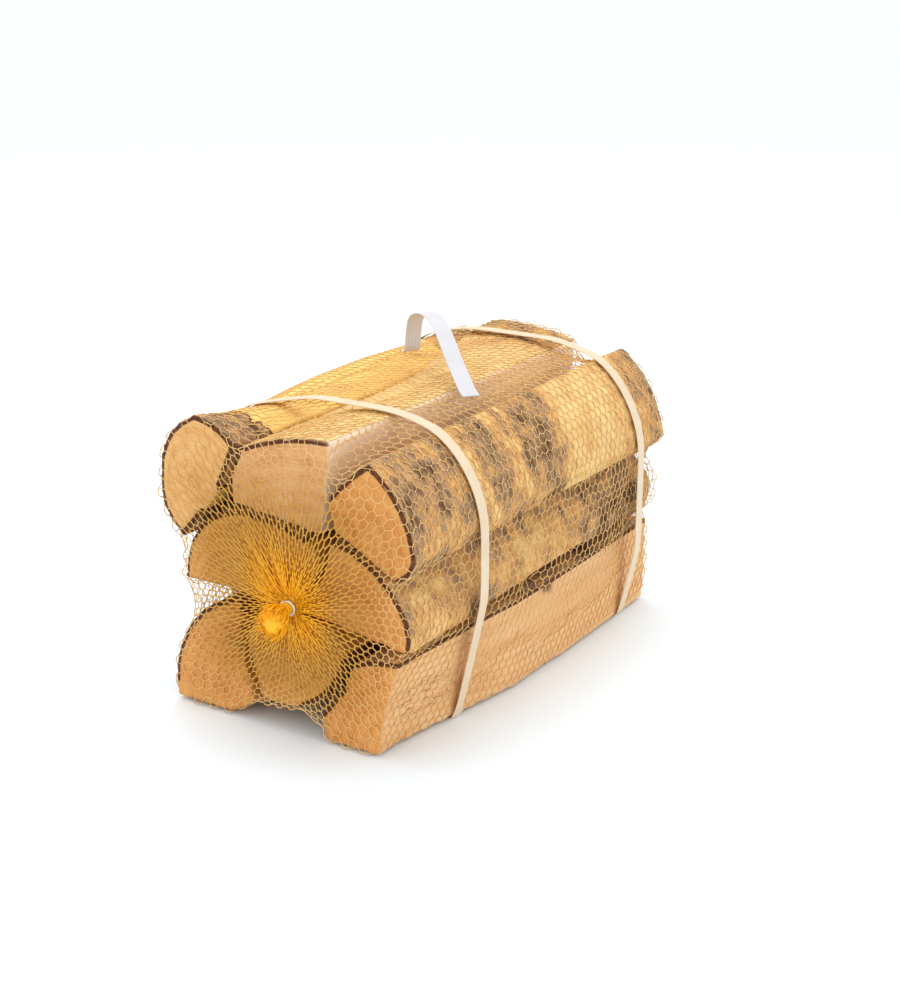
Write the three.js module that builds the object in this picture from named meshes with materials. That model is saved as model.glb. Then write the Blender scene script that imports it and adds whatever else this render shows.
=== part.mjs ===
// Firewood bundle: eight split logs in a drawn net, two flat straps and a carry handle.
// Millimetres. X runs across the bundle, Y along the logs with the shown end at -Y, +Z is up.
// The origin is on the floor under the middle of the bundle.
import * as THREE from 'three';

// Driving dimensions
const logLength = 330;
const gap = 0.3; // between neighbours that touch
const faceStep = 12; // longest facet round a log
const stations = [0, 0.08, 0.22, 0.4, 0.6, 0.78, 0.92, 1]; // along the logs, as shares of the length
const endReach = 0.5; // how far the moves of an end's corners run along a log
const onFloor = 1; // a log whose underside is lower than this lies on the floor

const netGap = 0.4; // from the logs to the net
const netThickness = 0.8;
const netFront = 0.6; // from the logs' ends to the net
const netSides = 28; // a multiple of 4, so one side faces straight down
const neck = { x: 6.5, z: 90, radius: 4.4, bore: 2.2, length: 7, away: 2 };
const slope = { size: 0.4, away: 0.8 }; // the ring half way in to the neck: share of the outline, and place
const tuft = { length: 20, radius: 12.5, waist: 0.8, wall: 1.2, ruffles: 7, ruffleDepth: 0.12, droop: -5 };

const strapWidth = 9.5;
const strapThickness = 0.7;
const strapPlaces = { front_strap: -90, back_strap: 123 }; // Y of each strap's middle

const handle = { width: 12, thickness: 1, bow: 36, tab: 7, steps: 28 };
const handleFeet = [[-40, 42], [48, -24]]; // X, Y where the band rises from the net
// The band's side view: shares of the span and of the bow. It stands up at the left and slopes to the right.
const handleShape = [
  [0, 0], [0.03, 0.42], [0.08, 0.76], [0.2, 0.94], [0.38, 1],
  [0.52, 0.91], [0.66, 0.65], [0.77, 0.4], [0.89, 0.17], [1, 0],
];

const clip = { bore: 4.8, radius: 6.2, length: 3.6, sides: 20 };

// Each log's section: corners [x, z, rise] counter-clockwise, where rise is the height of the arc that
// leads on to the next corner. Bark is a high arc, a split face is nearly flat. inset is how far its shown
// end stands back, and back is how its far end is moved across and up. front and far move single corners
// of the shown end and of the far end, and sag lowers the crest corner at each station.
const logs = {
  log_top_left: {
    corners: [[-50, 158, 0], [-37, 187, 4], [-70, 204, 9], [-102, 158, 7], [-84, 117, 1]],
    inset: 0, length: 330, taper: 0.98, back: [0, 0], far: { 1: [-13, -3] },
    crest: 2, sag: [0, -5, -12, -5, -4, -6, -4, -8],
  },
  log_top_middle: {
    corners: [[-44, 148, 0], [27, 139, 0], [35, 202, 4], [-33, 188, 0], [-44, 165, 0]],
    inset: 3, length: 325, taper: 1, back: [0, 0],
    far: { 2: [-4, -3], 3: [-12, 18], 4: [-1, 0] },
  },
  log_top_right: {
    corners: [[38, 145, 0], [85, 119, 3], [99, 136, 8], [64, 194, 1], [33.5, 167, 1]],
    inset: 1, length: 329, taper: 1, back: [5, 4],
    far: { 2: [3, -6] },
  },
  log_middle_left: {
    corners: [[-87, 87, 0], [5, 89, 0], [26, 117, 2], [14, 136, 2.5], [-38, 145.5, 15]],
    inset: 2, length: 322, taper: 0.96, back: [0, 0],
  },
  log_middle_right: {
    corners: [[9, 86, 0], [93.5, 75.5, 2], [92, 97, 9], [36, 140, 0], [28, 113, 0]],
    inset: 1, length: 318, taper: 0.97, back: [1, 0],
    front: { 1: [0, -2] }, far: { 1: [5, 0], 2: [10, 6] },
  },
  log_bottom_left: {
    corners: [[-97, 0, 0], [-50, 0, 0.5], [-29, 12, 0], [-41, 55, 0], [-32, 87, 14], [-97, 26, 1]],
    inset: 0, length: 328, taper: 0.98, back: [0, 0],
  },
  log_bottom_middle: {
    corners: [[-26, 14, 1], [8, 16, 6], [45, 58, 2], [30, 80, 1], [-22, 84, 0], [-37, 56, 0]],
    inset: 2, length: 324, taper: 0.96, back: [0, 0],
  },
  log_bottom_right: {
    corners: [[28, 0, 0], [93, 0, 0], [95, 32, 0], [94, 66, 2], [52, 61, 0], [43, 42, 0], [24, 18, 0]],
    inset: 0, length: 330, taper: 1, back: [0, 0],
    front: { 1: [-23, 0], 2: [-20, 0], 3: [-8, 2] },
  },
};

const finishes = {
  log: { color: 0xdca870, roughness: 0.8 },
  net: { color: 0xf2b43a, roughness: 0.5, transparent: true, opacity: 0.35 },
  strap: { color: 0xf3ead6, roughness: 0.45 },
  handle: { color: 0xf4f2f5, roughness: 0.4 },
  clip: { color: 0xc9ccd0, roughness: 0.35, metalness: 1 },
};

const bundle = new THREE.Group();

function add(name, geometry, finish) {
  const mesh = new THREE.Mesh(geometry, new THREE.MeshStandardMaterial(finishes[finish]));
  mesh.name = name;
  bundle.add(mesh);
  return mesh;
}

// A closed skin over rings of points. Without caps the last ring joins the first.
function skin(rings, capped) {
  const count = rings[0].length;
  const points = rings.flat();
  const faces = [];
  const spans = capped ? rings.length - 1 : rings.length;
  for (let r = 0; r < spans; r++) {
    const here = r * count;
    const next = ((r + 1) % rings.length) * count;
    for (let i = 0; i < count; i++) {
      const j = (i + 1) % count;
      faces.push(here + i, next + i, here + j);
      faces.push(here + j, next + i, next + j);
    }
  }
  if (capped) {
    const outline = rings[0].map((p) => new THREE.Vector2(p.x, p.z));
    const last = (rings.length - 1) * count;
    for (const [a, b, c] of THREE.ShapeUtils.triangulateShape(outline, [])) {
      faces.push(a, b, c);
      faces.push(last + a, last + c, last + b);
    }
  }
  const geometry = new THREE.BufferGeometry();
  const places = points.flatMap((p) => [p.x, p.y, p.z]);
  geometry.setAttribute('position', new THREE.Float32BufferAttribute(places, 3));
  geometry.setIndex(faces);
  geometry.computeVertexNormals();
  return geometry;
}

// The points of one span of an outline: a straight line, or an arc of the given rise.
function arcPoints(from, to, rise, steps) {
  const chord = to.clone().sub(from);
  const outward = new THREE.Vector2(chord.y, -chord.x).normalize();
  const points = [];
  for (let i = 0; i < steps; i++) {
    const t = i / steps;
    const lift = 4 * rise * t * (1 - t);
    points.push(from.clone().addScaledVector(chord, t).addScaledVector(outward, lift));
  }
  return points;
}

// The outline of a log at a station, with the moves of its single corners.
function logOutline(log, station) {
  const share = stations[station];
  const nearFront = 1 - THREE.MathUtils.smoothstep(share, 0, endReach);
  const nearBack = THREE.MathUtils.smoothstep(share, 1 - endReach, 1);
  const plain = log.corners.map(([x, z]) => new THREE.Vector2(x, z));
  const corners = plain.map((corner, i) => {
    const [frontX, frontZ] = log.front?.[i] ?? [0, 0];
    const [farX, farZ] = log.far?.[i] ?? [0, 0];
    const sag = i === log.crest ? log.sag[station] : 0;
    return new THREE.Vector2(
      corner.x + frontX * nearFront + farX * nearBack,
      corner.y + frontZ * nearFront + farZ * nearBack + sag,
    );
  });
  return corners.flatMap((corner, i) => {
    const j = (i + 1) % corners.length;
    const steps = Math.max(1, Math.round(plain[i].distanceTo(plain[j]) / faceStep));
    return arcPoints(corner, corners[j], log.corners[i][2], steps);
  });
}

// One ring of a log. It is widest at the shown end and tapers towards the far end.
function logRing(log, station) {
  const share = stations[station];
  const outline = logOutline(log, station);
  const middle = outline.reduce((sum, p) => sum.add(p), new THREE.Vector2()).divideScalar(outline.length);
  const floor = Math.min(...outline.map((p) => p.y));
  if (floor < onFloor) middle.y = floor; // a log on the floor keeps its underside there
  const scale = 1 - (1 - log.taper) * share;
  const y = -logLength / 2 + log.inset + log.length * share;
  const [dx, dz] = log.back;
  return outline.map((p) => {
    const q = p.clone().sub(middle).multiplyScalar(scale).add(middle);
    return new THREE.Vector3(q.x + dx * share, y, q.y + dz * share);
  });
}

const logRings = Object.fromEntries(
  Object.entries(logs).map(([name, log]) => [name, stations.map((_, station) => logRing(log, station))]),
);

for (const [name, rings] of Object.entries(logRings)) {
  add(name, skin(rings, true), 'log');
}

// How far the logs reach in each direction across the bundle, at each station.
const directions = Array.from({ length: netSides }, (_, i) => (i * 2 * Math.PI) / netSides);
const reach = stations.map((_, s) =>
  directions.map((angle) => {
    const toward = [Math.cos(angle), Math.sin(angle)];
    const points = Object.values(logRings).flatMap((rings) => rings[s]);
    return Math.max(...points.map((p) => p.x * toward[0] + p.z * toward[1]));
  }),
);

const frontEnd = -logLength / 2;
const backEnd = frontEnd + logLength;

// A taut outline round the bundle at a place along it, standing off the logs.
function wrap(y, off) {
  const share = THREE.MathUtils.clamp((y - frontEnd) / logLength, 0, 1);
  const s = Math.min(stations.length - 2, stations.findLastIndex((at) => at <= share));
  const t = (share - stations[s]) / (stations[s + 1] - stations[s]);
  const lines = directions.map((angle, i) => ({
    angle,
    distance: THREE.MathUtils.lerp(reach[s][i], reach[s + 1][i], t) + off,
  }));
  return lines.map((line, i) => {
    const next = lines[(i + 1) % netSides];
    const turn = Math.sin(next.angle - line.angle);
    const x = (line.distance * Math.sin(next.angle) - next.distance * Math.sin(line.angle)) / turn;
    const z = (next.distance * Math.cos(line.angle) - line.distance * Math.cos(next.angle)) / turn;
    return new THREE.Vector3(x, y, z);
  });
}

// The outline drawn in towards the neck, to a share of its size.
function drawnIn(y, off, share) {
  const middle = new THREE.Vector3(neck.x, y, neck.z);
  return wrap(y, off).map((p) => p.lerp(middle, 1 - share));
}

// A round ring about the neck, with ruffles where the tuft opens.
function neckRing(y, radius, drop, ruffle) {
  return directions.map((angle) => {
    const at = angle + Math.PI / netSides;
    const r = radius * (1 + ruffle * Math.sin(tuft.ruffles * at));
    return new THREE.Vector3(neck.x + r * Math.cos(at), y, neck.z + drop + r * Math.sin(at));
  });
}

// One wall of the net from tuft to tuft. The inner wall stands a net's thickness inside the outer one.
function netWall(inner) {
  const off = inner ? netGap : netGap + netThickness;
  const face = inner ? netFront : netFront + netThickness;
  const bunch = inner ? neck.bore : neck.radius;
  const open = inner ? tuft.radius - tuft.wall : tuft.radius;
  const ends = [];
  for (const [end, out] of [[frontEnd, -1], [backEnd, 1]]) {
    const root = end + out * (face + neck.away);
    const tip = root + out * neck.length;
    const middle = tip + (out * tuft.length) / 2;
    ends.push([
      neckRing(tip + out * tuft.length, open, tuft.droop, tuft.ruffleDepth),
      neckRing(middle, open * tuft.waist, tuft.droop / 2, tuft.ruffleDepth),
      neckRing(tip, bunch, 0, 0),
      neckRing(root, bunch, 0, 0),
      drawnIn(end + out * (face + slope.away), off, slope.size),
      drawnIn(end + out * face, off, 1),
    ]);
  }
  const body = stations.slice(1, -1).map((share) => wrap(frontEnd + logLength * share, off));
  return [...ends[0], ...body, ...ends[1].reverse()];
}

add('net_sack', skin([...netWall(false), ...netWall(true).reverse()], false), 'net');

// Flat straps, drawn tight over the net. The bundle rests on them.
const strapOff = netGap + netThickness + gap;
for (const [name, middle] of Object.entries(strapPlaces)) {
  const [near, far] = [middle - strapWidth / 2, middle + strapWidth / 2];
  const rings = [
    wrap(near, strapOff + strapThickness),
    wrap(far, strapOff + strapThickness),
    wrap(far, strapOff),
    wrap(near, strapOff),
  ];
  add(name, skin(rings, false), 'strap');
}

// The height of the net's top over a point, clear for what lies on it.
function netHeight(x, y) {
  const outline = wrap(y, strapOff);
  const heights = outline.map((p, i) => {
    const q = outline[(i + 1) % netSides];
    const t = (x - p.x) / (q.x - p.x);
    return t >= 0 && t <= 1 ? THREE.MathUtils.lerp(p.z, q.z, t) : -Infinity;
  });
  return Math.max(...heights);
}

// The handle: a flat band that bows up between two tabs on the net.
const [leftFoot, rightFoot] = handleFeet.map(([x, y]) => new THREE.Vector3(x, y, 0));
const across = rightFoot.clone().sub(leftFoot).normalize();
const sideways = new THREE.Vector3(-across.y, across.x, 0);
const span = leftFoot.distanceTo(rightFoot);

// A point of the band over its line on the net, that far along and up.
function bandPoint(along, up) {
  const at = leftFoot.clone().addScaledVector(across, along);
  const held = [-1, 0, 1].map((side) => {
    const edge = at.clone().addScaledVector(sideways, (side * handle.width) / 2);
    return netHeight(edge.x, edge.y);
  });
  return at.setZ(Math.max(...held) + gap + handle.thickness / 2 + up);
}

const bow = new THREE.CatmullRomCurve3([
  bandPoint(-handle.tab, 0),
  bandPoint(-handle.tab / 2, 0),
  ...handleShape.map(([along, up]) => bandPoint(along * span, up * handle.bow)),
  bandPoint(span + handle.tab / 2, 0),
  bandPoint(span + handle.tab, 0),
], false, 'centripetal');
const bandRings = Array.from({ length: handle.steps + 1 }, (_, i) => {
  const at = bow.getPointAt(i / handle.steps);
  const along = bow.getTangentAt(i / handle.steps);
  const out = new THREE.Vector3().crossVectors(along, sideways).normalize();
  const [w, t] = [handle.width / 2, handle.thickness / 2];
  return [[-w, -t], [-w, t], [w, t], [w, -t]].map(([a, b]) =>
    at.clone().addScaledVector(sideways, a).addScaledVector(out, b));
});
add('carry_handle', band(bandRings), 'handle');

// A closed bar over four-cornered rings.
function band(rings) {
  const geometry = skin(rings, true);
  const index = Array.from(geometry.index.array);
  const last = (rings.length - 1) * 4;
  const sides = index.slice(0, (rings.length - 1) * 24);
  geometry.setIndex([...sides, 0, 1, 2, 0, 2, 3, last, last + 2, last + 1, last, last + 3, last + 2]);
  return geometry;
}

// The metal clips that close the net, one round each neck.
function clipRing() {
  const half = clip.length / 2;
  const { bore, radius } = clip;
  const profile = [[bore, -half], [radius, -half], [radius, half], [bore, half], [bore, -half]];
  return new THREE.LatheGeometry(profile.map(([r, h]) => new THREE.Vector2(r, h)), clip.sides);
}

const clipAway = netFront + netThickness + neck.away + neck.length / 2;
for (const [name, y] of [['front_clip', frontEnd - clipAway], ['back_clip', backEnd + clipAway]]) {
  const ring = add(name, clipRing(), 'clip');
  ring.position.set(neck.x, y, neck.z);
}

// Stand the bundle on the floor, over the origin.
const extent = new THREE.Box3().setFromObject(bundle);
const centre = extent.getCenter(new THREE.Vector3());
bundle.position.set(-centre.x, -centre.y, -extent.min.z);

export default bundle;
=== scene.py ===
import math

import bmesh
import bpy
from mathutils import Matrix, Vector, noise
from mathutils.bvhtree import BVHTree


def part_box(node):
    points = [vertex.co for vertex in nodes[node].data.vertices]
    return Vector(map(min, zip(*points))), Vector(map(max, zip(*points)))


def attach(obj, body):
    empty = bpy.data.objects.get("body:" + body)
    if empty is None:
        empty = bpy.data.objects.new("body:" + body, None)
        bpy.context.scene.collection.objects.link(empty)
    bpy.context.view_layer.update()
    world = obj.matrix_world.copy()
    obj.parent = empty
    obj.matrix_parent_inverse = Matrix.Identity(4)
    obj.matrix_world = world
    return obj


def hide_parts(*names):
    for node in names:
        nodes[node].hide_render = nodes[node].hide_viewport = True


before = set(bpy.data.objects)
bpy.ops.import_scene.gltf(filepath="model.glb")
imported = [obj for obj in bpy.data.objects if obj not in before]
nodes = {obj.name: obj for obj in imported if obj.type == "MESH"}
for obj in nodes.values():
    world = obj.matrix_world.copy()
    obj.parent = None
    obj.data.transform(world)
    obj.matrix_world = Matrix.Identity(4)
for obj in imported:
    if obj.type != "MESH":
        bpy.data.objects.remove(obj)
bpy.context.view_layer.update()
print("frame loaded,", len(nodes), "nodes")

mm = 0.001
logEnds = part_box("log_top_left")[0].y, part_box("log_top_left")[1].y
frontY, backY = logEnds
clipLow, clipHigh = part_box("front_clip")
neckX, neckZ = (clipLow.x + clipHigh.x) / 2, (clipLow.z + clipHigh.z) / 2
shift = neckX - 6.6 * mm  # places across are given for a bundle whose neck is 6.6 mm right of the middle


# Camera, floor and light
view = {"place": (0.6028, -0.9269, 0.4955), "azimuth": 32.2, "elevation": 19.1, "lens": 59.18}
studio = {"floor": (0.88, 0.955, 1.0, 1), "sky": (0.985, 0.99, 1.0, 1), "skyStrength": 1.12,
          "topLight": 8, "topSize": 1.2, "sideLight": 2.5}


def addLight(name, place, aim, size, power, colour):
    lamp = bpy.data.lights.new(name, "AREA")
    lamp.shape = "DISK"
    lamp.size = size
    lamp.energy = power
    lamp.color = colour
    holder = bpy.data.objects.new(name, lamp)
    bpy.context.collection.objects.link(holder)
    holder.location = place
    holder.rotation_euler = (Vector(aim) - Vector(place)).to_track_quat("-Z", "Y").to_euler()


def setStage():
    camera = bpy.data.objects.new("camera", bpy.data.cameras.new("camera"))
    bpy.context.collection.objects.link(camera)
    camera.location = view["place"]
    camera.location.x += shift
    camera.rotation_euler = (math.radians(90 - view["elevation"]), 0, math.radians(view["azimuth"]))
    camera.data.lens = view["lens"]
    camera.data.sensor_fit = "VERTICAL"
    camera.data.sensor_height = 36
    camera.data.clip_start = 0.01
    bpy.context.scene.camera = camera
    bpy.context.scene.view_settings.view_transform = "Standard"

    bm = bmesh.new()
    bmesh.ops.create_grid(bm, x_segments=1, y_segments=1, size=60)
    mesh = bpy.data.meshes.new("floor")
    bm.to_mesh(mesh)
    bm.free()
    floor = bpy.data.objects.new("floor", mesh)
    bpy.context.collection.objects.link(floor)
    paint = bpy.data.materials.new("paleFloor")
    paint.use_nodes = True
    shader = paint.node_tree.nodes["Principled BSDF"]
    shader.inputs["Base Color"].default_value = studio["floor"]
    shader.inputs["Roughness"].default_value = 0.9
    mesh.materials.append(paint)

    world = bpy.data.worlds.new("studio")
    bpy.context.scene.world = world
    world.use_nodes = True
    sky = world.node_tree.nodes["Background"]
    sky.inputs["Color"].default_value = studio["sky"]
    sky.inputs["Strength"].default_value = studio["skyStrength"]
    addLight("topLight", (-0.25, 0.15, 1.6), (0, 0, 0.1), studio["topSize"], studio["topLight"], (1, 0.98, 0.95))
    addLight("sideLight", (1.8, -0.3, 0.7), (0, 0, 0.1), 1.0, studio["sideLight"], (1, 0.99, 0.97))


setStage()
print("camera, floor and lights set")


# Shader sums: a wrapped socket takes part in plain expressions
class Wire:
    def __init__(self, tree, socket):
        self.tree = tree
        self.socket = socket

    def math(self, operation, a, b=None, clamp=False):
        node = self.tree.nodes.new("ShaderNodeMath")
        node.operation = operation
        node.use_clamp = clamp
        for slot, value in enumerate((a, b)):
            if isinstance(value, Wire):
                self.tree.links.new(value.socket, node.inputs[slot])
            elif value is not None:
                node.inputs[slot].default_value = value
        return Wire(self.tree, node.outputs[0])

    def __add__(self, other):
        return self.math("ADD", self, other)

    def __radd__(self, other):
        return self.math("ADD", other, self)

    def __sub__(self, other):
        return self.math("SUBTRACT", self, other)

    def __rsub__(self, other):
        return self.math("SUBTRACT", other, self)

    def __mul__(self, other):
        return self.math("MULTIPLY", self, other)

    def __rmul__(self, other):
        return self.math("MULTIPLY", other, self)

    def __truediv__(self, other):
        return self.math("DIVIDE", self, other)

    def __pow__(self, other):
        return self.math("POWER", self, other)

    def clamp(self):
        return self.math("ADD", self, 0, clamp=True)

    def sine(self):
        return self.math("SINE", self)

    def floorTo(self, low, high):  # 0 below low, 1 above high, smooth between
        return addNode(self.tree, "MapRange", {"interpolation_type": "SMOOTHSTEP"},
                       Value=self, **{"From Min": low, "From Max": high})


def addNode(tree, kind, settings=None, out=0, **sockets):
    node = tree.nodes.new("ShaderNode" + kind)
    for key, value in (settings or {}).items():
        if key == "stops":
            ramp = node.color_ramp
            while len(ramp.elements) < len(value):
                ramp.elements.new(1)
            for element, (place, colour) in zip(ramp.elements, value):
                element.position = place
                element.color = colour if len(colour) == 4 else (*colour, 1)
        else:
            setattr(node, key, value)
    for key, value in sockets.items():
        socket = pickSocket(node, key)
        if isinstance(value, Wire):
            tree.links.new(value.socket, socket)
        else:
            socket.default_value = value
    return Wire(tree, pickOutput(node, out))


def pickSocket(node, key):
    live = [s for s in node.inputs if s.enabled]
    if key[0] in "ab" and key[1:] == "Side":
        return [s for s in live if s.name in "AB"][0 if key[0] == "a" else 1]
    return next(s for s in live if s.name == key)


def pickOutput(node, out):
    live = [s for s in node.outputs if s.enabled]
    return live[out] if isinstance(out, int) else next(s for s in live if s.name == out)


def blendColour(tree, factor, a, b, mode="MIX"):
    return addNode(tree, "Mix", {"data_type": "RGBA", "blend_type": mode}, Factor=factor,
                   aSide=a if isinstance(a, Wire) else rgb(a), bSide=b if isinstance(b, Wire) else rgb(b))


def rgb(colour):  # 0-255 screen colour to a linear one
    if len(colour) == 4:
        return colour
    linear = [c / 255 / 12.92 if c / 255 <= 0.04045 else ((c / 255 + 0.055) / 1.055) ** 2.4 for c in colour]
    return (*linear, 1)


def speckle(tree, where, scale, detail=3, rough=0.55, out=0, **more):
    return addNode(tree, "TexNoise", {"noise_dimensions": "3D"}, out, Vector=where, Scale=scale,
                   Detail=detail, Roughness=rough, **more)


def stretch(tree, where, scale, offset=(0, 0, 0)):
    return addNode(tree, "Mapping", None, Vector=where, Scale=scale, Location=offset)


def newMaterial(name):
    material = bpy.data.materials.new(name)
    material.use_nodes = True
    tree = material.node_tree
    return material, tree, tree.nodes["Principled BSDF"]


def plug(tree, shader, **sockets):
    for key, value in sockets.items():
        socket = shader.inputs[key.replace("_", " ")]
        if isinstance(value, Wire):
            tree.links.new(value.socket, socket)
        else:
            socket.default_value = value


# Logs. Places are across and up in millimetres, seen from the shown end. Bark runs round the section
# from the first to the second place, anticlockwise, and tones follow the log from its shown end.
logLook = {"grainSize": 0.0026, "barkThickness": 4.2, "barkRelief": 1.3, "splitRelief": 0.9, "endRelief": 0.25}
logs = {
    "log_top_left": {"pith": (-70, 162), "middle": (-70, 165), "bark": [((-48, 160), (-66, 118))],
                     "tones": [(0, 0.32), (0.1, 0.36), (0.16, 0.75), (0.5, 0.8), (0.75, 0.7), (0.86, 0.3), (1, 0.35)],
                     "bare": (38, 270), "wood": "tan", "split": "pale", "seed": 1},
    # log_top_middle's split sides are painted lighter, as painted light against the shade in the groove beside it
    "log_top_middle": {"pith": (15, 95), "middle": (-3, 168), "bark": [((35, 202), (-34, 189))],
                       "tones": [(0, 0.92), (0.3, 1), (0.5, 0.94), (0.7, 1), (0.85, 0.7), (1, 0.35)],
                       "wood": "pink", "split": "whiteWithPaintedLight", "thinBark": True, "seed": 2},
    "log_top_right": {"pith": (27, 130), "middle": (62, 150), "bark": [((85, 117), (34, 165))],
                      "tones": [(0, 0.42), (0.12, 0.36), (0.2, 0.45), (0.26, 0.66), (0.31, 0.32), (0.36, 0.35),
                                (0.41, 0.66), (0.46, 0.33), (0.56, 0.34), (0.62, 0.8), (0.84, 0.8), (0.92, 0.5),
                                (1, 0.32)],
                      "wood": "orange", "split": "cream", "seed": 3},
    "log_middle_left": {"pith": (-20, 75), "middle": (-25, 115), "bark": [((12, 135), (-82, 92))],
                        "tones": [(0, 0.3), (0.5, 0.5), (1, 0.35)], "wood": "olive", "seed": 4},
    "log_middle_right": {"pith": (24, 67), "middle": (55, 100), "bark": [((94, 78), (37, 141))],
                         "tones": [(0, 0.5), (0.1, 0.58), (0.3, 0.4), (0.45, 0.58), (0.65, 0.54), (0.75, 0.25),
                                   (0.88, 0.22), (1, 0.45)],
                         "wood": "orange", "seed": 5},
    "log_bottom_left": {"pith": (-21, 10), "middle": (-60, 35), "bark": [((-31, 88), (-98, 10))],
                        "tones": [(0, 0.25), (0.5, 0.4), (1, 0.3)], "wood": "orange", "seed": 6},
    "log_bottom_middle": {"pith": (-20, 78), "middle": (5, 50), "bark": [((8, 15), (46, 58))],
                          "tones": [(0, 0.2), (0.5, 0.35), (1, 0.3)], "wood": "olive", "seed": 7},
    "log_bottom_right": {"pith": (100, -5), "middle": (60, 30), "bark": [((95, 66.5), (50, 61)), ((43, 42), (24, 18))],
                         "barkFacing": 0.3, "tones": [(0, 0.66), (0.3, 0.6), (0.4, 0.4), (1, 0.35)],
                         "wood": "orange", "split": "cream",
                         "knots": [((93, 10, 63), 7), ((94, 14, 58), 4)], "scar": ((84, -130, 32), (30, 48, 17)),
                         "seed": 8},
}
woodTones = {
    "pale": ((232, 178, 96), (252, 212, 122), (255, 228, 140)),
    "pink": ((200, 138, 84), (224, 168, 110), (236, 188, 134)),
    "tan": ((206, 146, 78), (228, 174, 106), (240, 192, 126)),
    "orange": ((190, 120, 50), (216, 148, 74), (230, 168, 96)),
    "olive": ((184, 122, 46), (210, 148, 70), (226, 168, 88)),
    "cream": ((220, 162, 106), (236, 186, 132), (246, 204, 158)),
    # whiteWithPaintedLight: pale split wood raised to near white, partly its own pale tone and partly painted light
    # offsetting the groove's shade
    "whiteWithPaintedLight": ((242, 206, 166), (250, 224, 192), (254, 238, 214)),
}


def turn(place, middle):
    return math.atan2(place[1] - middle[1], place[0] - middle[0])


def barkThere(x, z, look):
    here = turn(((x - shift) / mm, z / mm), look["middle"])
    for start, end in look["bark"]:
        a, b = turn(start, look["middle"]), turn(end, look["middle"])
        if (here - a) % (2 * math.pi) <= (b - a) % (2 * math.pi):
            return True
    return False


def finished(piece):  # the piece with its modifiers applied
    graph = bpy.context.evaluated_depsgraph_get()
    graph.update()
    mesh = bpy.data.meshes.new_from_object(piece.evaluated_get(graph))
    old = piece.data
    piece.modifiers.clear()
    piece.data = mesh
    bpy.data.meshes.remove(old)
    return piece


def newPiece(name, bm, smooth=True):
    mesh = bpy.data.meshes.new(name)
    bm.to_mesh(mesh)
    bm.free()
    if smooth:
        mesh.shade_smooth()
    piece = bpy.data.objects.new(name, mesh)
    bpy.context.collection.objects.link(piece)
    return piece


def nodeCopy(name):
    bm = bmesh.new()
    bm.from_mesh(nodes[name].data)
    bmesh.ops.remove_doubles(bm, verts=bm.verts, dist=1e-5)
    return bm


def makeLog(name, look):
    bm = nodeCopy(name)
    sides = [f for f in bm.faces if abs(f.normal.y) < 0.8]
    bmesh.ops.join_triangles(bm, faces=sides, angle_face_threshold=0.6, angle_shape_threshold=1.2)
    bm.faces.ensure_lookup_table()
    skinFaces = [f for f in bm.faces if abs(f.normal.y) < 0.8 and f.normal.z > look.get("barkFacing", -1)
                 and barkThere(*f.calc_center_median().xz, look)]
    skinVerts = sorted({v for f in skinFaces for v in f.verts}, key=lambda v: v.index)
    order = {v: i for i, v in enumerate(skinVerts)}
    skin = BVHTree.FromPolygons([v.co for v in skinVerts], [[order[v] for v in f.verts] for f in skinFaces])
    piece = newPiece(name.replace("log_", "wood_"), bm)
    remesh = piece.modifiers.new("even grid", "REMESH")
    remesh.mode = "VOXEL"
    remesh.voxel_size = logLook["grainSize"]
    finished(piece)

    bm = bmesh.new()
    bm.from_mesh(piece.data)
    bm.normal_update()
    skinDepth = bm.verts.layers.float.new("skinDepth")
    endCut = bm.verts.layers.float.new("endCut")
    start = Vector((look["seed"] * 3.7, look["seed"] * 1.3, look["seed"] * 2.1))
    moves = []
    bareFrom, bareTo = [y * mm + frontY for y in look.get("bare", (9e3, 9e3))]
    for v in bm.verts:
        deep = skin.find_nearest(v.co)[3] / mm
        end = min(1, max(0, (abs(v.normal.y) - 0.6) / 0.25))
        wave = 11 * mm * (noise.noise(v.co * 45 + start) + 0.8 * noise.noise(v.co * 160 + start))
        bare = bareFrom + wave < v.co.y < bareTo + wave
        thickness = logLook["barkThickness"]
        if bare and v.normal.z > -0.3:
            deep = thickness + 3 + deep
        v[skinDepth] = deep
        v[endCut] = end
        onBark = min(1, max(0, 1.6 - deep))
        p = v.co / mm
        rough = noise.fractal(Vector((p.x / 16, p.y / 9, p.z / 16)) + start, 1, 2, 4)
        plates = abs(noise.noise(Vector((p.x / 9, p.y / 30, p.z / 9)) + start))
        fibre = noise.fractal(Vector((p.x / 7, p.y / 130, p.z / 7)) + start, 1, 2, 4)
        saw = noise.noise(Vector((p.x / 3, 0, p.z / 25)) + start)
        barkMove = (0.35 * rough - 0.5 - 0.55 * (1 - 3 * plates if plates < 0.33 else 0)) * logLook["barkRelief"]
        splitMove = (0.6 * fibre - 0.5) * logLook["splitRelief"]
        endMove = (saw * 0.5 - 0.5) * logLook["endRelief"]
        if 0.7 < deep < thickness and end > 0.3:
            endMove -= 0.5 + 0.4 * rough
        sideMove = barkMove * onBark + splitMove * (1 - onBark)
        move = endMove * end + sideMove * (1 - end)
        for place, size in look.get("knots", []):
            near = (p - Vector((place[0] + shift / mm, place[1] + frontY / mm + 165, place[2]))).length / size
            if near < 1:
                move -= 1.6 * (1 - near) * size / 7
        moves.append(move * mm)
    for v, move in zip(bm.verts, moves):
        v.co += v.normal * move
    bm.to_mesh(piece.data)
    bm.free()
    piece.data.shade_smooth()
    piece.data.materials.append(woodMaterial(name, look))
    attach(piece, "root")
    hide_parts(name)
    return piece


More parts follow.
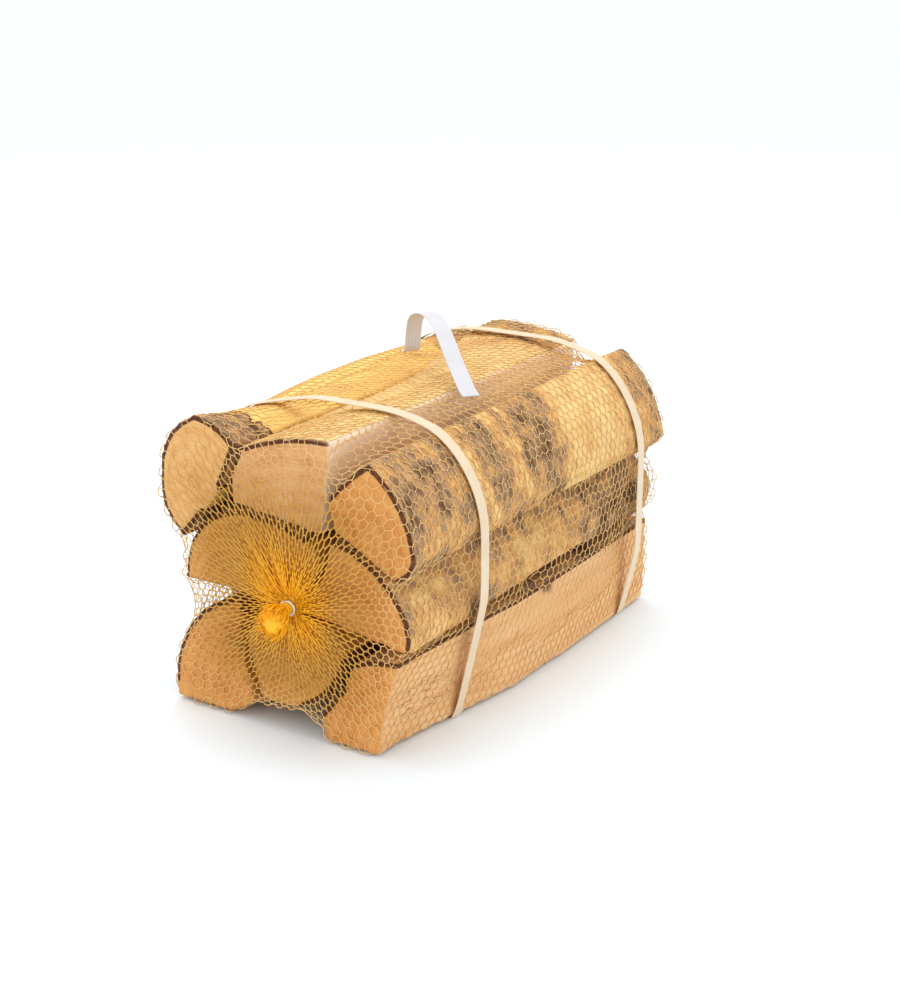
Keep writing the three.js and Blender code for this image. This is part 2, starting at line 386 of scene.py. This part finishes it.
def woodMaterial(name, look):
    material, tree, shader = newMaterial(name.replace("log_", "") + "Wood")
    seed = look["seed"]
    spot = addNode(tree, "TexCoord", None, "Object")
    inMm = stretch(tree, spot, (1000, 1000, 1000), (seed * 37.0, seed * 61.0, seed * 23.0))
    pithX, pithZ = look["pith"][0] + shift / mm, look["pith"][1]
    fromPith = stretch(tree, spot, (1000, 0, 1000), (-pithX, 0, -pithZ))
    depth = addNode(tree, "Attribute", {"attribute_name": "skinDepth"}, "Fac")
    end = addNode(tree, "Attribute", {"attribute_name": "endCut"}, "Fac")
    endTones = [rgb(c) for c in woodTones[look["wood"]]]
    splitTones = [rgb(c) for c in woodTones[look.get("split", look["wood"])]]

    # saw-cut end: rings about the pith, rays and faint saw marks
    warp = speckle(tree, inMm, 0.045, 2)
    reach = addNode(tree, "VectorMath", {"operation": "LENGTH"}, "Value", Vector=fromPith) + warp * 9
    ring = ((reach * 2.4).sine() * 0.5 + 0.5) ** 2
    wideRing = (reach * 0.63).sine() * 0.5 + 0.5
    ray = speckle(tree, addNode(tree, "VectorMath", {"operation": "NORMALIZE"}, Vector=fromPith), 38, 2)
    blotch = speckle(tree, inMm, 0.06, 4)
    grey = speckle(tree, inMm, 0.16, 3)
    endTone = blotch * 0.9 + ring * 0.12 + wideRing * 0.14 + ray * 0.25 - 0.12
    endColour = addNode(tree, "ValToRGB", {"stops": list(zip((0.22, 0.5, 0.8), endTones))}, Fac=endTone)
    crack = ray.floorTo(0.68, 0.72) * speckle(tree, inMm, 0.05, 1).floorTo(0.5, 0.6)
    endColour = blendColour(tree, crack * 0.5, endColour, (120, 70, 35))
    endColour = blendColour(tree, grey.floorTo(0.6, 0.75) * 0.25, endColour, (170, 140, 110))
    sawMark = speckle(tree, stretch(tree, inMm, (0.9, 0, 0.08)), 1, 2)

    # split wood: fibres along the log
    fine = speckle(tree, stretch(tree, inMm, (1.1, 0.03, 1.1)), 1, 4, 0.7)
    broad = speckle(tree, stretch(tree, inMm, (0.13, 0.006, 0.13)), 1, 3)
    splitTone = fine * 0.5 + broad * 0.75 - 0.13
    splitColour = addNode(tree, "ValToRGB", {"stops": list(zip((0.25, 0.5, 0.75), splitTones))}, Fac=splitTone)
    tear = fine.floorTo(0.62, 0.72) * broad.floorTo(0.5, 0.65)
    splitColour = blendColour(tree, tear * 0.55, splitColour, (165, 105, 55))
    for place, size in look.get("knots", []):
        centre = (-place[0] - shift / mm, -(place[1] + frontY / mm + 165), -place[2])
        gap = addNode(tree, "VectorMath", {"operation": "LENGTH"}, "Value",
                      Vector=stretch(tree, stretch(tree, spot, (1000, 1000, 1000), centre), (1, 0.6, 1)))
        knot = 1 - (gap + blotch * 3).floorTo(size * 0.5, size * 1.15)
        splitColour = blendColour(tree, knot * 0.85, splitColour, (92, 58, 28))

    if "scar" in look:  # torn fibres low down near the shown end
        place, size = look["scar"]
        away = addNode(tree, "VectorMath", {"operation": "LENGTH"}, "Value", Vector=stretch(
            tree, spot, [1000 / c for c in size], [-(a + b) / c for a, b, c in zip(place, (shift / mm, 0, 0), size)]))
        torn = speckle(tree, stretch(tree, inMm, (0.5, 0.045, 0.5)), 1, 4, 0.75).floorTo(0.55, 0.63)
        splitColour = blendColour(tree, torn * (1 - away.floorTo(0.6, 1.1)) * 0.75, splitColour, (128, 82, 38))

    # bark: bands along the log, patches, dark dashes that run round it
    alongLog = addNode(tree, "SeparateXYZ", None, "Y", Vector=spot)
    patch = speckle(tree, inMm, 0.05, 5, 0.6)
    wander = speckle(tree, stretch(tree, inMm, (0.02, 0.05, 0.02)), 1, 3)
    share = (alongLog - frontY + (wander - 0.5) * 0.09) / (backY - frontY)
    bands = addNode(tree, "ValToRGB", {"stops": [(at, (tone,) * 3) for at, tone in look["tones"]]}, Fac=share)
    tone = addNode(tree, "SeparateColor", None, "Red", Color=bands)
    streak = speckle(tree, stretch(tree, inMm, (0.07, 0.5, 0.07)), 1, 4, 0.65)
    barkTone = tone + (patch - 0.5) * 1.4 + (streak - 0.5) * 0.8
    barkColour = addNode(tree, "ValToRGB", {"stops": [
        (0.02, rgb((64, 40, 22))), (0.2, rgb((120, 88, 58))), (0.36, rgb((170, 138, 106))),
        (0.5, rgb((208, 154, 92))), (0.68, rgb((230, 188, 122))), (0.95, rgb((242, 208, 142)))]}, Fac=barkTone)
    dash = speckle(tree, stretch(tree, inMm, (0.16, 1.3, 0.16)), 1, 2).floorTo(0.62, 0.7)
    barkColour = blendColour(tree, dash * 0.6, barkColour, (64, 42, 28))
    lichen = speckle(tree, inMm, 0.09, 5, 0.7).floorTo(0.6, 0.68)
    barkColour = blendColour(tree, lichen * 0.4, barkColour, (168, 158, 150))

    # the cut edge of the bark between them, its dark brown partly the bark's own section and partly painted shade
    bite = depth + (speckle(tree, inMm, 0.5, 3) - 0.5) * 1.2
    rimBarkAndShadeColour = addNode(tree, "ValToRGB", {"stops": [(0.2, rgb((58, 26, 12))), (0.5, rgb((92, 48, 22))),
                                                     (0.8, rgb((142, 88, 46)))]}, Fac=speckle(tree, inMm, 0.3, 4))
    rim = 1 - bite.floorTo(logLook["barkThickness"] - 0.7, logLook["barkThickness"] + 0.3)
    if look.get("thinBark"):  # shows no dark line along its split sides
        rim = rim * end
    outer = (1 - depth.floorTo(0.5, 1.1)) * (1 - end)
    wood = blendColour(tree, end, splitColour, endColour)
    # where the rim mask is set the colour is dark bark section with painted shade mixed in
    colour = blendColour(tree, rim, wood, rimBarkAndShadeColour)
    colour = blendColour(tree, outer, colour, barkColour)

    height = (end * sawMark * 0.25 + (1 - end) * fine * 0.8) * (1 - rim)
    height = height + rim * (1 - outer) * speckle(tree, inMm, 0.9, 3) * 1.2
    height = height + outer * (patch * 2 + streak * 0.9 - dash * 0.5)
    bump = addNode(tree, "Bump", None, Height=height, Strength=0.7, Distance=0.0012)
    rough = 0.62 + outer * 0.2 + fine * 0.15
    plug(tree, shader, Base_Color=colour, Roughness=rough, Normal=bump)
    shader.inputs["Specular IOR Level"].default_value = 0.3
    return material


woods = [makeLog(name, look) for name, look in logs.items()]
print("logs done:", sum(len(p.data.polygons) for p in woods), "faces")


def treeOf(pieces):
    points, faces = [], []
    for piece in pieces:
        start = len(points)
        points += [v.co.copy() for v in piece.data.vertices]
        faces += [[start + i for i in f.vertices] for f in piece.data.polygons]
    return BVHTree.FromPolygons(points, faces)


woodSkin = treeOf(woods)


def clearOf(point, away, skin=None):
    spot, normal, _, gap = (skin or woodSkin).find_nearest(point)
    side = (point - spot).dot(normal)
    if side < 0 or gap < away:
        return spot + normal * away
    return point


# Net: hexagonal openings, drawn round the logs and in to a gathered neck at each end
net = {"cellsAround": 116, "bodyCells": 47, "endCells": 14, "strand": 0.72, "gatheredStrand": 1.35, "neckRadius": 4.0, "clear": 0.5,
       "frontGap": 0.9, "neckLength": 7, "wander": 1.8, "jitter": 0.3, "rounds": 180, "drawIn": 0.5, "drawReach": 70, "cone": 3, "pleats": 1.3}


def smoothStep(t):
    t = min(1, max(0, t))
    return t * t * (3 - 2 * t)


def tautOutline(y, wrapSkin, steps=360):
    axis = Vector((neckX, y, neckZ))
    points = []
    for i in range(steps):
        turned = 2 * math.pi * i / steps - math.pi / 2
        hit = wrapSkin.ray_cast(axis, Vector((math.cos(turned), 0, math.sin(turned))))[0]
        points.append(hit)
    lengths = [0]
    for a, b in zip(points, points[1:] + points[:1]):
        lengths.append(lengths[-1] + (b - a).length)
    return points + points[:1], lengths


def alongOutline(outline, share):
    points, lengths = outline
    want = (share % 1) * lengths[-1]
    low, high = 0, len(lengths) - 1
    while high - low > 1:
        half = (low + high) // 2
        if lengths[half] <= want:
            low = half
        else:
            high = half
    t = (want - lengths[low]) / (lengths[high] - lengths[low])
    return points[low].lerp(points[high], t)


def netSheet():
    bm = bmesh.new()  # two hexagons, one row apart, repeated into a flat sheet
    for offset in ((0, 0), (0.5, 1)):
        ring = bmesh.ops.create_circle(bm, cap_ends=True, segments=6, radius=2 / 3)["verts"]
        for v in ring:
            turned = round(math.degrees(math.atan2(v.co.x, v.co.y))) % 360
            v.co.x = 0.5 * round(math.sin(math.radians(turned)) * 1.15) + offset[0]
            v.co.y = (2 / 3 if abs(v.co.x - offset[0]) < 0.1 else 1 / 3) * (1 if v.co.y > 0 else -1) + offset[1]
    sheet = newPiece("netSheet", bm)
    count = net["bodyCells"] + 2 * net["endCells"]
    for name, repeats, step in (("along", count, (1, 0, 0)), ("around", net["cellsAround"] // 2, (0, 2, 0))):
        array = sheet.modifiers.new(name, "ARRAY")
        array.count = repeats
        array.use_relative_offset = False
        array.use_constant_offset = True
        array.constant_offset_displace = step
        array.use_merge_vertices = True
        array.merge_threshold = 0.01
    return finished(sheet)


def drawNet():
    wrap = nodeCopy("net_sack")
    wrapSkin = BVHTree.FromBMesh(wrap)
    wrap.free()
    ys = [frontY + 2 * mm + (backY - frontY - 4 * mm) * i / 16 for i in range(17)]
    outlines = [tautOutline(y, wrapSkin) for y in ys]
    ends, body = net["endCells"], net["bodyCells"]
    front = frontY - net["frontGap"] * mm
    back = backY + net["frontGap"] * mm

    sheet = netSheet()
    bm = bmesh.new()
    bm.from_mesh(sheet.data)
    bpy.data.objects.remove(sheet)
    zone = bm.verts.layers.int.new("zone")
    gathered = bm.verts.layers.float.new("gathered")
    for v in bm.verts:
        along, around = v.co.x, v.co.y / net["cellsAround"]
        rows = max(0, ends - along, along - ends - body)  # how far in from the rim; the last row is the neck
        share, tube = min(1, rows / (ends - 1)), max(0, rows - ends + 1)
        out = 1 if along > ends + body / 2 else -1
        y = min(back, max(front, front + (back - front) * (along - ends) / body))
        t = min(15.999, max(0, (y - ys[0]) / (ys[1] - ys[0])))
        low = int(t)
        edge = alongOutline(outlines[low], around).lerp(alongOutline(outlines[min(16, low + 1)], around), t - low)
        pull = (1 - share) ** 1.1
        neckAngle = 2 * math.pi * around - math.pi / 2
        ring = Vector((math.cos(neckAngle), 0, math.sin(neckAngle))) * net["neckRadius"] * mm
        middle = Vector((neckX, y, neckZ))
        v.co = middle + ring + (Vector((edge.x, y, edge.z)) - middle - ring) * pull
        v.co.y = y + out * (net["cone"] * mm * share ** 3 + net["neckLength"] * mm * min(1, tube))
        v[zone] = 0 if share == 0 else (1 if share < 0.95 else 2)
        v[gathered] = share
    bmesh.ops.remove_doubles(bm, verts=bm.verts, dist=0.02 * mm)
    bmesh.ops.recalc_face_normals(bm, faces=bm.faces)

    def standOff(v, lay=0):  # each point stays in its own section, so none slides off round an end
        away = net["clear"] * mm
        if v[zone]:
            v.co.y = min(v.co.y, frontY - away) if v.co.y < 0 else max(v.co.y, backY + away)
            return
        inside = Vector((v.co.x, min(backY - 14 * mm, max(frontY + 8 * mm, v.co.y)), v.co.z))
        spot, normal, _, gap = woodSkin.find_nearest(inside)
        if (inside - spot).dot(normal) < 0 or gap < (lay or away):
            v.co.x, v.co.z = spot.x + normal.x * away, spot.z + normal.z * away

    def relax(rounds, drawIn=0):
        inBody = [v for v in bm.verts if v[zone] == 0]
        inEnds = [v for v in bm.verts if v[zone] == 1]
        fromEnd = [min(v.co.y - frontY, backY - v.co.y) / (net["drawReach"] * mm) for v in inBody]
        for count in range(1, rounds + 1):
            bmesh.ops.smooth_vert(bm, verts=inBody, factor=0.5, use_axis_x=True, use_axis_y=False, use_axis_z=True)
            bmesh.ops.smooth_vert(bm, verts=inEnds, factor=0.5, use_axis_x=True, use_axis_y=True, use_axis_z=True)
            if count % 3:
                continue
            for v, share in zip(inBody, fromEnd):
                gap = woodSkin.find_nearest(v.co)[3]
                if drawIn and share < 1 and gap > 4 * net["clear"] * mm:  # the gathered ends draw it in
                    inward = Vector((neckX - v.co.x, 0, neckZ - v.co.z)).normalized()
                    v.co += inward * drawIn * mm * (1 - smoothStep(share))
            for v in inBody + inEnds:
                standOff(v)

    relax(net["rounds"], net["drawIn"])
    for v in bm.verts:
        if v[zone] < 2:
            calm = 1 - 0.7 * v[gathered]
            drift = noise.noise_vector(v.co / (26 * mm)) * net["wander"] * mm
            drift += noise.noise_vector(v.co / (3 * mm)) * net["jitter"] * 2 * mm
            if v[zone]:
                drift.y *= 0.25
            v.co += drift * calm
            standOff(v, 3.5 * mm)
        if v[gathered] > 0.3:  # pleats run in to the neck
            turned = math.atan2(v.co.z - neckZ, v.co.x - neckX)
            fold = math.sin(9 * turned + 2 * math.sin(3 * turned)) + 0.6 * math.sin(23 * turned + 1)
            depth = net["pleats"] * mm * smoothStep((v[gathered] - 0.3) / 0.6) * (1.3 + fold)
            v.co.y += depth * (1 if v.co.y > 0 else -1) * (1 if v[zone] == 1 else 0.3)
    bmesh.ops.subdivide_edges(bm, edges=bm.edges, cuts=1)
    relax(3)
    return bm


def netMaterial():
    material, tree, shader = newMaterial("netYellow")
    spot = addNode(tree, "TexCoord", None, "Object")
    tight = addNode(tree, "Attribute", {"attribute_name": "gathered"}, "Fac")
    shade = speckle(tree, spot, 60, 3)
    body = blendColour(tree, shade, (222, 174, 104), (244, 204, 134))
    bunch = blendColour(tree, shade, (255, 168, 4), (255, 196, 14))
    drawn = blendColour(tree, shade, (196, 140, 44), (230, 178, 76))
    colour = blendColour(tree, tight.floorTo(0.05, 0.4), body, drawn)
    colour = blendColour(tree, tight.floorTo(0.5, 0.9), colour, bunch)
    bump = addNode(tree, "Bump", None, Height=speckle(tree, spot, 900, 2), Strength=0.3, Distance=0.0004)
    plug(tree, shader, Base_Color=colour, Roughness=0.35 + shade * 0.2, Normal=bump)
    shader.inputs["Specular IOR Level"].default_value = 0.4
    return material


netPaint = netMaterial()


def netPieces():
    bm = drawNet()
    bm.faces.ensure_lookup_table()
    cut = 88 * mm
    pieces = []
    for name, start, stop in (("net_front", -1, -cut), ("net_middle", -cut, cut), ("net_back", cut, 1)):
        part = bm.copy()
        gone = [f for f in part.faces if not start <= f.calc_center_median().y < stop]
        bmesh.ops.delete(part, geom=gone, context="FACES")
        piece = newPiece(name, part)
        thin = net["strand"] / net["gatheredStrand"]
        stout = piece.vertex_groups.new(name="stout")
        for v, share in zip(piece.data.vertices, piece.data.attributes["gathered"].data):
            stout.add([v.index], thin + (1 - thin) * smoothStep(share.value / 0.6), "REPLACE")
        wire = piece.modifiers.new("strands", "WIREFRAME")
        wire.thickness = net["gatheredStrand"] * mm
        wire.vertex_group = "stout"
        wire.use_even_offset = False
        wire.use_boundary = True
        wire.use_replace = True
        finished(piece)
        piece.data.shade_smooth()
        piece.data.materials.clear()
        piece.data.materials.append(netPaint)
        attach(piece, "root")
        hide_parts("net_sack")
        pieces.append(piece)
    bm.free()
    return pieces


nets = netPieces()
print("net done:", [len(p.data.polygons) for p in nets], "faces")


# Tufts: the ends of the net stand out of each clip as a ragged ruffle
tuft = {"length": 19, "radius": 10.5, "droop": 5.5, "strands": 150, "thickness": 0.6, "seed": 11, "core": 0.72}


def makeTuft(name, y, out):
    curve = bpy.data.curves.new(name, "CURVE")
    curve.dimensions = "3D"
    curve.bevel_depth = tuft["thickness"] * mm
    curve.bevel_resolution = 0
    curve.resolution_u = 3
    for i in range(tuft["strands"]):
        pick = [noise.cell(Vector((i * 1.7 + 0.5, k * 3.1 + 0.5, tuft["seed"] + out))) for k in range(4)]
        angle = 2 * math.pi * (i * 0.618034 % 1) + 0.3 * pick[0]
        spread = 0.35 + 0.65 * math.sqrt((i + 0.5) / tuft["strands"])
        length = tuft["length"] * mm * (0.86 + 0.14 * pick[1]) * (1 - 0.12 * spread)
        spline = curve.splines.new("BEZIER")
        steps = 5
        spline.bezier_points.add(steps - 1)
        for k in range(steps):
            t = k / (steps - 1)
            flare = net["neckRadius"] * 0.8 * (1 - smoothStep(t)) + tuft["radius"] * smoothStep(t * 1.1)
            wobble = 0.9 * mm * t * math.sin(6 * t + pick[2] * 3)
            r = flare * mm * spread + wobble
            twist = angle + 0.25 * t * pick[3]
            point = spline.bezier_points[k]
            point.co = (neckX + r * math.cos(twist), y + out * length * t,
                        neckZ + r * math.sin(twist) - tuft["droop"] * mm * t ** 1.6)
            point.handle_left_type = point.handle_right_type = "AUTO"
            point.radius = 1 - 0.35 * t
    holder = bpy.data.objects.new(name, curve)
    bpy.context.collection.objects.link(holder)
    graph = bpy.context.evaluated_depsgraph_get()
    mesh = bpy.data.meshes.new_from_object(holder.evaluated_get(graph))
    bpy.data.objects.remove(holder)
    mesh.name = name
    piece = bpy.data.objects.new(name, mesh)
    bpy.context.collection.objects.link(piece)
    bm = bmesh.new()
    bm.from_mesh(mesh)
    inside = []
    for k in range(9):  # the ruffled core that the strands lie on
        t = k / 8
        flare = net["neckRadius"] * 0.75 * (1 - smoothStep(t)) + tuft["radius"] * smoothStep(t * 1.1)
        reach = flare * tuft["core"] * mm * (1 if k < 8 else 0.35)
        made = bmesh.ops.create_circle(bm, cap_ends=k == 8, segments=72, radius=reach)
        for v in made["verts"]:
            turned = math.atan2(v.co.y, v.co.x)
            ruffle = 1 + 0.13 * t * math.sin(7 * turned + 3 * t) + 0.12 * t * math.sin(3 * turned + 1)
            hollow = 0.8 * mm if k == 8 else 0
            v.co = (neckX + v.co.x * ruffle, y + out * (tuft["length"] * 0.86 * mm * min(t, 0.99) - hollow),
                    neckZ + v.co.y * ruffle - tuft["droop"] * mm * t ** 1.6)
        rings = [e for e in {e for v in made["verts"] for e in v.link_edges}]
        if inside:
            bmesh.ops.bridge_loops(bm, edges=inside + rings)
        inside = rings
    bm.to_mesh(mesh)
    bm.free()
    full = mesh.attributes.new("gathered", "FLOAT", "POINT")
    full.data.foreach_set("value", [1.0] * len(mesh.vertices))
    mesh.shade_smooth()
    mesh.materials.clear()
    mesh.materials.append(netPaint)
    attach(piece, "root")
    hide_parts("net_sack")
    return piece


tuftStart = net["frontGap"] + net["cone"] + net["neckLength"] - 1
tufts = [makeTuft("net_tuft_front", frontY - tuftStart * mm, -1), makeTuft("net_tuft_back", backY + tuftStart * mm, 1)]
print("tufts done")


# Clips: a wire ring crimped round each neck
clip = {"radius": 5.2, "wire": 0.85, "flatten": 0.9}


def clipMaterial():
    material, tree, shader = newMaterial("brightClip")
    spot = addNode(tree, "TexCoord", None, "Object")
    scuff = speckle(tree, stretch(tree, spot, (300, 1500, 300)), 1, 3)
    plug(tree, shader, Base_Color=blendColour(tree, scuff, (200, 202, 206), (240, 241, 244)),
         Roughness=0.22 + scuff * 0.25, Metallic=1.0)
    return material


clipPaint = clipMaterial()


def makeClip(node):
    low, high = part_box(node)
    middle = (low + high) / 2
    bm = bmesh.new()
    bmesh.ops.create_circle(bm, cap_ends=False, segments=12, radius=clip["wire"] * mm)
    bmesh.ops.scale(bm, verts=bm.verts, vec=(1, 1.5, 1))
    bmesh.ops.translate(bm, verts=bm.verts, vec=(clip["radius"] * mm, 0, 0))
    bmesh.ops.spin(bm, geom=bm.verts[:] + bm.edges[:], cent=(0, 0, 0), axis=(0, 1, 0),
                   angle=2 * math.pi, steps=48, use_merge=True, use_duplicate=False)
    bmesh.ops.remove_doubles(bm, verts=bm.verts, dist=1e-6)
    bmesh.ops.recalc_face_normals(bm, faces=bm.faces)
    for v in bm.verts:  # the crimp: pressed in at the seam on top
        turned = math.atan2(v.co.z, v.co.x)
        press = math.exp(-((turned - 1.9) / 0.22) ** 2)
        v.co.x *= 1 - 0.1 * press
        v.co.z *= clip["flatten"] * (1 - 0.1 * press)
        v.co.y *= 1 + 0.35 * press
    bmesh.ops.translate(bm, verts=bm.verts, vec=middle)
    piece = newPiece(node.replace("clip", "crimp"), bm)
    piece.data.materials.append(clipPaint)
    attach(piece, "root")
    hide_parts(node)


makeClip("front_clip")
makeClip("back_clip")
print("clips done")


# Straps: flat bands drawn tight over the net, ribbed along their length
strap = {"width": 9.5, "thickness": 0.7, "over": 1.75, "rows": 5}


def bandMaterial(name, dark, light, ribs, gloss):
    material, tree, shader = newMaterial(name)
    spot = addNode(tree, "TexCoord", None, "Object")
    across = addNode(tree, "Attribute", {"attribute_name": "across"}, "Fac")
    cloud = speckle(tree, spot, 70, 4)
    rib = (across * ribs * math.pi).sine() * 0.5 + 0.5
    weave = speckle(tree, spot, 1400, 2)
    colour = blendColour(tree, (cloud * 0.8 + rib * 0.25).clamp(), dark, light)
    bump = addNode(tree, "Bump", None, Height=rib * 0.7 + weave * 0.5, Strength=0.5, Distance=0.0005)
    plug(tree, shader, Base_Color=colour, Roughness=gloss + cloud * 0.15, Normal=bump)
    return material


strapPaint = bandMaterial("strapWhite", (218, 190, 152), (240, 222, 194), 22, 0.4)
handlePaint = bandMaterial("handleWhite", (196, 194, 198), (214, 213, 219), 9, 0.4)


def makeStrap(node):
    low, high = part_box(node)
    bm = nodeCopy(node)
    skin = BVHTree.FromBMesh(bm)
    bm.free()
    middleY = (low.y + high.y) / 2
    axis = Vector((neckX, middleY, neckZ))
    bm = bmesh.new()
    rim = bmesh.ops.create_circle(bm, cap_ends=False, segments=240, radius=1)["verts"]
    for v in rim:  # drop the circle on to the inside of the strap's own solid
        toward = Vector((v.co.x, 0, v.co.y))
        v.co = skin.ray_cast(axis, toward)[0]
        v.co.y = low.y
    for _ in range(12):
        bmesh.ops.smooth_vert(bm, verts=bm.verts, factor=0.5, use_axis_x=True, use_axis_z=True)
        for v in bm.verts:
            v.co = clearOf(v.co, strap["over"] * mm)
            v.co.y = low.y
            v.co.z = max(v.co.z, strap["thickness"] * mm)
    edge = bm.edges[:]
    width = high.y - low.y
    across = bm.verts.layers.float.new("across")
    for row in range(1, strap["rows"] + 1):
        made = bmesh.ops.extrude_edge_only(bm, edges=edge)["geom"]
        fresh = [g for g in made if isinstance(g, bmesh.types.BMVert)]
        edge = [e for e in made if isinstance(e, bmesh.types.BMEdge)
                and all(v in set(fresh) for v in e.verts)]
        bmesh.ops.translate(bm, verts=fresh, vec=(0, width / strap["rows"], 0))
    for v in bm.verts:
        v[across] = (v.co.y - low.y) / width
        free = clearOf(v.co, strap["over"] * 0.9 * mm)
        v.co.x, v.co.z = free.x, max(free.z, strap["thickness"] * mm)
    bmesh.ops.recalc_face_normals(bm, faces=bm.faces)
    piece = newPiece(node.replace("strap", "band"), bm)
    wall = piece.modifiers.new("thickness", "SOLIDIFY")
    wall.thickness = strap["thickness"] * mm
    wall.offset = 1
    soft = piece.modifiers.new("edges", "BEVEL")
    soft.width = 0.2 * mm
    soft.segments = 2
    finished(piece)
    piece.data.shade_smooth()
    piece.data.materials.clear()
    piece.data.materials.append(strapPaint)
    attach(piece, "root")
    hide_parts(node)
    return piece


straps = [makeStrap("front_strap"), makeStrap("back_strap")]
print("straps done")


# Handle: a flat band that stands up off the top
handle = {"cup": 0.5, "edge": 0.3}


def makeHandle():
    bm = nodeCopy("carry_handle")
    bmesh.ops.join_triangles(bm, faces=bm.faces, angle_face_threshold=0.8, angle_shape_threshold=1.2)
    piece = newPiece("handle_band", bm)
    soft = piece.modifiers.new("edges", "BEVEL")
    soft.width = handle["edge"] * mm
    soft.segments = 2
    soft.limit_method = "ANGLE"
    soft.angle_limit = 1.0
    fine = piece.modifiers.new("smooth bow", "SUBSURF")
    fine.levels = fine.render_levels = 2
    finished(piece)
    piece.data.shade_smooth()
    full = piece.data.attributes.new("across", "FLOAT", "POINT")
    along = Vector((88, -66, 0)).normalized()
    side = Vector((-along.y, along.x, 0))
    full.data.foreach_set("value", [v.co.dot(side) / 0.012 for v in piece.data.vertices])
    piece.data.materials.clear()
    piece.data.materials.append(handlePaint)
    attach(piece, "root")
    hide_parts("carry_handle")


makeHandle()
print("handle done")

bpy.context.view_layer.update()
